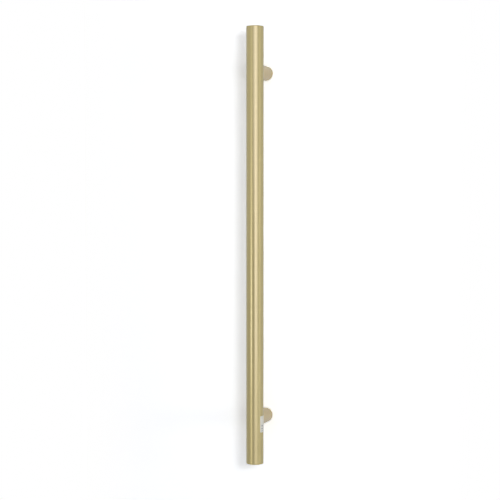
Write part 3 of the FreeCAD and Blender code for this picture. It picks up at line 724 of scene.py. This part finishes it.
HEAD_ROUND = 0.25 * MM
SLOT_WIDTH = 0.6 * MM
SLOT_DEPTH = 0.8 * MM
SHANK_RADIUS = 1.4 * MM
HEAD_HEIGHT = 1.6 * MM
FOOT_CHAMFER = 0.4 * MM
FOOT_SHARE = 0.6             # of the shank's radius that is left at its foot
first_place = Vector((ways[0], clamp_rows[0], 0))
shoulder = screws_high.z - HEAD_HEIGHT
clamp_rings = [(SHANK_RADIUS * FOOT_SHARE, screws_low.z), (SHANK_RADIUS, screws_low.z + FOOT_CHAMFER),
               (SHANK_RADIUS, shoulder), (SCREW_HEAD, shoulder)]
clamp_rings += rounded(SCREW_HEAD - HEAD_ROUND, screws_high.z - HEAD_ROUND, HEAD_ROUND, 0)
clamp = turned_piece("clamp_screw_1", first_place, clamp_rings, 40, "Z")
for end in range(2):
    pick(clamp, "edges", lambda edge: edge.is_boundary)
    bpy.ops.mesh.edge_face_add()
bpy.ops.mesh.select_all(action="SELECT")
bpy.ops.mesh.normals_make_consistent(inside=False)
bpy.ops.object.mode_set(mode="OBJECT")
bpy.ops.mesh.primitive_cube_add(size=1, location=first_place + Vector((0, 0, screws_high.z)),
                                scale=(3 * SCREW_HEAD, SLOT_WIDTH, 2 * SLOT_DEPTH))
cut_with(clamp, bpy.context.object)
bpy.ops.object.mode_set(mode="EDIT")
close_up(clamp, 30)
fit_piece(clamp, tin, "rail", "screw_steel", "terminal_screws")
places = [(across, along) for across in ways for along in clamp_rows][1:]
for number, (across, along) in enumerate(places, 2):
    twin = copy_of(clamp, f"clamp_screw_{number}", Vector((across, along, 0)) - first_place)
    fit_piece(twin, tin, "rail", "screw_steel", "terminal_screws")


# ---- The earth
# A bent brass strip spot welded inside the lower post, and a tinned push-on connector on its blade. The
# connector's two sides are rolled over the blade's edges, and its back is crimped on the earth lead.
ROLL_RADIUS = 0.85 * MM
CONNECTOR_WALL = 0.4 * MM
BARREL_RADIUS = 1.5 * MM
BARREL_LENGTH = 5.0 * MM
BARREL_BITE = (1.2 * MM, 1.8 * MM, 3.0 * MM, 3.6 * MM)   # from its end: where the bite starts, is down, ends
BARREL_BITE_DEPTH = 0.2 * MM
POCKET_SHARE = 0.8           # of the connector's length that the blade goes into
finish_with(turned_metal("tab_brass", TURNED_BRASS, TURNED_BRASS_DULL, 0.36,
                         Vector((0, 0, post_height["lower"]))), "earth_tab")

shoe_low, shoe_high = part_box("earth_connector")
shoe_middle = (shoe_low + shoe_high) / 2
shoe_length = shoe_high.y - shoe_low.y - BARREL_LENGTH
bpy.ops.mesh.primitive_cube_add(size=1, location=(0, shoe_high.y - shoe_length / 2, shoe_middle.z),
                                scale=(shoe_high.x - shoe_low.x, shoe_length, shoe_high.z - shoe_low.z))
shoe = new_piece("earth_push_connector")
pick(shoe, "edges", lambda edge: abs((edge.verts[0].co - edge.verts[1].co).normalized().y) > 0.9)
bpy.ops.mesh.bevel(offset=ROLL_RADIUS, segments=5)
pick(shoe, "faces", lambda face: face.normal.y > 0.9)
bpy.ops.mesh.inset(thickness=CONNECTOR_WALL)
bpy.ops.mesh.extrude_region_move(TRANSFORM_OT_translate={"value": (0, -POCKET_SHARE * shoe_length, 0)})
bpy.ops.object.mode_set(mode="OBJECT")
bpy.ops.mesh.primitive_cube_add(size=1, location=(0, shoe_high.y - shoe_length / 2, shoe_low.z),
                                scale=(CONNECTOR_WALL, 2 * shoe_length, 2 * CONNECTOR_WALL))
cut_with(shoe, bpy.context.object)
bpy.ops.object.mode_set(mode="EDIT")
close_up(shoe, 30)
fit_piece(shoe, tin, "rail", "tinned_crimp", "earth_connector")

ferrule_back = Vector((0, 0, shoe_middle.z))
ferrule_end = shoe_low.y + BARREL_LENGTH
bite_start, bite_down, bite_up, bite_end = [shoe_low.y + along for along in BARREL_BITE]
bitten = BARREL_RADIUS - BARREL_BITE_DEPTH
ferrule_rings = [(LEAD_RADIUS, shoe_low.y), (BARREL_RADIUS, shoe_low.y), (BARREL_RADIUS, bite_start),
                 (bitten, bite_down), (bitten, bite_up), (BARREL_RADIUS, bite_end),
                 (BARREL_RADIUS, ferrule_end), (LEAD_RADIUS, ferrule_end), (LEAD_RADIUS, shoe_low.y)]
ferrule = turned_piece("earth_crimp_barrel", ferrule_back, ferrule_rings, 40)
close_up(ferrule)
fit_piece(ferrule, tin, "rail", "tinned_crimp")


# ---- The rating label
# A white printed film, wrapped on the bar's right side beside the lower post, with rounded corners. Its
# upper half is plain, and its lower half has a few generic grey bars.
FILM_THICKNESS = 0.10 * MM
FILM_CORNER = 2.0 * MM
CORNER_CUTS = (15, 45, 75)   # degrees round each corner
FILM_WHITE = (0.900, 0.880, 0.790)
FILM_DIRTY = (0.850, 0.820, 0.710)
INK = (0.450, 0.450, 0.430)
BARS = ((20.5, 2.4, 12.0), (26.5, 2.2, 14.0), (31.8, 1.8, 9.0))   # from the top, height, length, in mm
BAR_START = 3.0 * MM         # from the film's left edge to the bars

film_low, film_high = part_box("rating_label")
FILM_RADIUS = film_high.x - FILM_THICKNESS
film_turns = [math.asin((level - bar_middle.y) / film_high.x) for level in (film_low.y, film_high.y)]
bpy.ops.mesh.primitive_cylinder_add(vertices=360, radius=FILM_RADIUS, depth=film_high.z - film_low.z,
                                    end_fill_type="NOTHING",
                                    location=(0, bar_middle.y, (film_low.z + film_high.z) / 2))
film = new_piece("printed_label")


def around(point):
    """How far round the bar a point is, from +X."""
    return math.atan2(point.y - bar_middle.y, point.x)


for turn, way in zip(film_turns, (-1, 1)):
    pick(film, "faces", lambda face: abs(around(face.calc_center_median()) - turn) < math.radians(60))
    tangent = Vector((-math.sin(turn), math.cos(turn), 0)) * way
    on_edge = Vector((FILM_RADIUS * math.cos(turn), bar_middle.y + FILM_RADIUS * math.sin(turn), 0))
    bpy.ops.mesh.bisect(plane_co=on_edge, plane_no=tangent, clear_outer=True)
    pick(film, "faces", lambda face: face.calc_center_median().x < 0)
    bpy.ops.mesh.delete(type="FACE")
    for level, rise in ((film_low.z, -1), (film_high.z, 1)):
        centre = on_edge - tangent * FILM_CORNER + Vector((0, 0, level - rise * FILM_CORNER))
        for degrees in CORNER_CUTS:
            slope = math.radians(degrees)
            outwards = tangent * math.cos(slope) + Vector((0, 0, rise * math.sin(slope)))
            bpy.ops.mesh.select_all(action="SELECT")
            bpy.ops.mesh.bisect(plane_co=centre + outwards * FILM_CORNER, plane_no=outwards, clear_outer=True)
bpy.ops.object.mode_set(mode="OBJECT")
thicken = film.modifiers.new("thicken", "SOLIDIFY")
thicken.thickness = FILM_THICKNESS
thicken.offset = 1.0
select_only(film)
bpy.ops.object.modifier_apply(modifier="thicken")
bpy.ops.object.mode_set(mode="EDIT")
close_up(film)

printed, tree, shader, place = new_material("printed_film", FILM_WHITE, 0.35)
paper = between(tree, blotches(tree, place, 8 * MM, -0.2, 0.8), FILM_WHITE, FILM_DIRTY)
parts = node(tree, "SeparateXYZ", {0: place}).outputs
depth = node(tree, "Math", {0: parts["Y"], 1: bar_middle.y}, operation="SUBTRACT").outputs[0]
turn = node(tree, "Math", {0: depth, 1: parts["X"]}, operation="ARCTAN2").outputs[0]
from_left = node(tree, "Math", {0: turn, 1: FILM_RADIUS, 2: -film_turns[0] * FILM_RADIUS},
                 operation="MULTIPLY_ADD").outputs[0]
for down, height, length in BARS:
    level = film_high.z - (down + height / 2) * MM
    in_row = node(tree, "Math", {0: parts["Z"], 1: level, 2: height / 2 * MM}, operation="COMPARE").outputs[0]
    in_bar = node(tree, "Math", {0: from_left, 1: BAR_START + length / 2 * MM, 2: length / 2 * MM},
                  operation="COMPARE").outputs[0]
    inked = node(tree, "Math", {0: in_row, 1: in_bar}, operation="MULTIPLY").outputs[0]
    paper = between(tree, inked, paper, INK)
tree.links.new(paper, shader.inputs["Base Color"])
tree.links.new(blotches(tree, place, 4 * MM, 0.30, 0.44), shader.inputs["Roughness"])
fit_piece(film, printed, "rail", "label_film", "rating_label")


# ---- The studio
# A white wall and a pale floor, clear from behind, which go all white further off. A lamp high on the
# right throws the bar's soft shadow to its left, and a second one lights its right side and the label.
# Large soft boxes and a dark cloth are there to be reflected.
WALL_SIZE = (2.4, 1.6)
WALL_GAP = 0.6 * MM          # from the spigots' backs to the paint
FLOOR_SIZE = 40.0
WALL_FADE = (0.15, 0.45)     # to each side of the bar, where the wall starts to go white and is all white
FLOOR_FADE = (1.0, 4.5)      # from the bar in any direction, likewise for the floor
FLOOR_DROP = 0.35            # from the bar's foot
PAINT = 0.7
WALL_GAINS = (1.95, 1.01)    # the paint's level for the camera and in reflections
FLOOR_GAINS = (1.8, 1.0)
PAINT_TINT = (0.99, 1.0, 1.02)
WORLD_DIFFUSE = 0.39
WORLD_GLOSSY = 0.62
LIGHT_DISTANCE = 3.8
CLOTH_DISTANCE = 3.7


def studio_paint(name, gains, fade, ways, holes=()):
    """Matt paint, brighter for the camera and in reflections than in the light that it spreads. It is
    clear from behind and in its round holes. Further away, in some ways, it goes white like the air."""
    material, tree, shader, place = new_material(name, (PAINT, PAINT, PAINT), 0.9)
    to_camera, to_gloss = gains
    rays = node(tree, "LightPath").outputs
    gloss = node(tree, "Math", {0: rays["Is Glossy Ray"], 1: to_gloss - PAINT, 2: PAINT},
                 operation="MULTIPLY_ADD")
    level = node(tree, "Math", {0: rays["Is Camera Ray"], 1: to_camera - PAINT, 2: gloss.outputs[0]},
                 operation="MULTIPLY_ADD").outputs[0]
    color = node(tree, "VectorMath", {0: level, 1: PAINT_TINT}, operation="MULTIPLY").outputs[0]
    surface = node(tree, "BsdfDiffuse", {"Color": color}).outputs[0]
    offset = node(tree, "VectorMath", {0: place, 1: ways}, operation="MULTIPLY").outputs[0]
    away = node(tree, "VectorMath", {0: offset}, operation="LENGTH").outputs["Value"]
    share = node(tree, "MapRange", {"Value": away, "From Min": fade[0], "From Max": fade[1],
                                    "To Max": rays["Is Camera Ray"]}, interpolation_type="SMOOTHSTEP")
    glow = node(tree, "Emission").outputs[0]
    surface = node(tree, "MixShader", {0: share.outputs[0], 1: surface, 2: glow}).outputs[0]
    clear = node(tree, "NewGeometry").outputs["Backfacing"]
    for centre, radius in holes:
        away = node(tree, "VectorMath", {0: place, 1: centre}, operation="DISTANCE").outputs["Value"]
        in_hole = node(tree, "Math", {0: away, 1: radius}, operation="LESS_THAN").outputs[0]
        clear = node(tree, "Math", {0: clear, 1: in_hole}, operation="MAXIMUM").outputs[0]
    through = node(tree, "BsdfTransparent").outputs[0]
    surface = node(tree, "MixShader", {0: clear, 1: surface, 2: through}).outputs[0]
    tree.links.new(surface, tree.nodes["Material Output"].inputs["Surface"])
    tree.nodes.remove(shader)
    return material


def stage_plane(name, size, location, rotation, material):
    """A flat backdrop, which isn't part of the object."""
    bpy.ops.mesh.primitive_plane_add(size=1, location=location, rotation=rotation)
    plane = bpy.context.object
    plane.name = name
    plane.scale = (*size, 1)
    bpy.ops.object.transform_apply(location=False, rotation=False, scale=True)
    plane.data.materials.append(material)
    return plane


spigot_low, spigot_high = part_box("upper_wall_spigot")
behind_spigots = [((0, height, 0), (spigot_high.x - spigot_low.x) / 2) for height in post_height.values()]
stage_plane("studio_wall", WALL_SIZE, (0, WALL_GAP, 0), (math.pi / 2, 0, 0),
            studio_paint("wall_paint", WALL_GAINS, WALL_FADE, (1, 0, 0), behind_spigots))
stage_plane("studio_floor", (FLOOR_SIZE, FLOOR_SIZE), (0, 0, bar_low.z - FLOOR_DROP), (0, 0, 0),
            studio_paint("floor_paint", FLOOR_GAINS, FLOOR_FADE, (1, 1, 0)))

world = bpy.data.worlds.new("studio")
bpy.context.scene.world = world
world.use_nodes = True
tree = world.node_tree
rays = node(tree, "LightPath").outputs
seen = node(tree, "Math", {0: rays["Is Camera Ray"], 1: 1 - WORLD_GLOSSY, 2: WORLD_GLOSSY},
            operation="MULTIPLY_ADD")
level = node(tree, "Math", {0: rays["Is Diffuse Ray"], 1: WORLD_DIFFUSE - WORLD_GLOSSY, 2: seen.outputs[0]},
             operation="MULTIPLY_ADD")
tree.nodes["Background"].inputs["Color"].default_value = (1, 1, 1, 1)
tree.links.new(level.outputs[0], tree.nodes["Background"].inputs["Strength"])


def faded(tree, across, upright, fades):
    """Full in the middle of a rectangle, and less towards its edges. fades are shares of its two sides."""
    shares = []
    for side, fade in zip((across, upright), fades):
        inwards = node(tree, "Math", {0: side, 1: 0.5}, operation="PINGPONG").outputs[0]
        share = node(tree, "MapRange", {"Value": inwards, "From Min": 0.0, "From Max": fade},
                     interpolation_type="SMOOTHSTEP")
        shares.append(share.outputs[0])
    return node(tree, "Math", {0: shares[0], 1: shares[1]}, operation="MULTIPLY").outputs[0]


def soft_box(name, azimuth, height, size, power, fades, color=(1, 1, 1)):
    """A soft box on a circle round the bar, facing it, whose light fades towards its edges."""
    data = bpy.data.lights.new(name, "AREA")
    data.shape = "RECTANGLE"
    data.size, data.size_y = size
    data.energy = power
    data.color = color
    data.use_nodes = True
    tree = data.node_tree
    spot = node(tree, "SeparateXYZ", {0: node(tree, "NewGeometry").outputs["Parametric"]}).outputs
    tree.links.new(faded(tree, spot["X"], spot["Y"], fades), tree.nodes["Emission"].inputs["Strength"])
    light = bpy.data.objects.new(name, data)
    bpy.context.collection.objects.link(light)
    turn = math.radians(azimuth)
    away = Vector((math.sin(turn), -math.cos(turn), 0))
    light.location = bar_middle + away * LIGHT_DISTANCE + Vector((0, 0, height))
    light.rotation_euler = (-away).to_track_quat("-Z", "Y").to_euler()
    light.visible_camera = False
    return light


soft_box("lamp", 31, 0.6, (1.4, 1.4), 115, (0.5, 0.5)).visible_glossy = False
soft_box("side_lamp", 81, 0.0, (1.4, 1.4), 105, (0.5, 0.5)).visible_glossy = False
soft_box("key_box", 25.2, 0.3, (6.8, 3.6), 85, (0.5, 0.3), (1.0, 1.0, 1.45)).visible_diffuse = False
soft_box("low_box", 45.4, -1.15, (1.7, 2.1), 15, (0.5, 0.4)).visible_diffuse = False
soft_box("side_box", -29.0, -1.0, (2.2, 2.4), 54, (0.5, 0.35)).visible_diffuse = False
soft_box("fill_box", 92, 0.0, (2.8, 2.4), 15, (0.5, 0.3)).visible_diffuse = False

CLOTH_TURN = math.radians(2.4)
CLOTH_SIZE = (2.2, 2.8)
CLOTH_DROP = 1.0             # below the bar's middle
cloth_material, tree, shader, place = new_material("dark_cloth", (0, 0, 0), 1.0)
spot = node(tree, "Mapping", {"Vector": place, "Location": (0.5, 0.5, 0),
                              "Scale": (1 / CLOTH_SIZE[0], 1 / CLOTH_SIZE[1], 1)})
spot = node(tree, "SeparateXYZ", {0: spot.outputs[0]}).outputs
cover = faded(tree, spot["X"], spot["Y"], (0.2, 0.2))
dark = node(tree, "Emission", {"Strength": 0.0}).outputs[0]
clear = node(tree, "BsdfTransparent").outputs[0]
surface = node(tree, "MixShader", {0: cover, 1: clear, 2: dark}).outputs[0]
tree.links.new(surface, tree.nodes["Material Output"].inputs["Surface"])
tree.nodes.remove(shader)
cloth_place = bar_middle + Vector((math.sin(CLOTH_TURN), -math.cos(CLOTH_TURN), 0)) * CLOTH_DISTANCE
cloth = stage_plane("studio_cloth", CLOTH_SIZE, cloth_place - Vector((0, 0, CLOTH_DROP)),
                    (math.pi / 2, 0, CLOTH_TURN), cloth_material)
cloth.visible_camera = cloth.visible_diffuse = cloth.visible_shadow = False
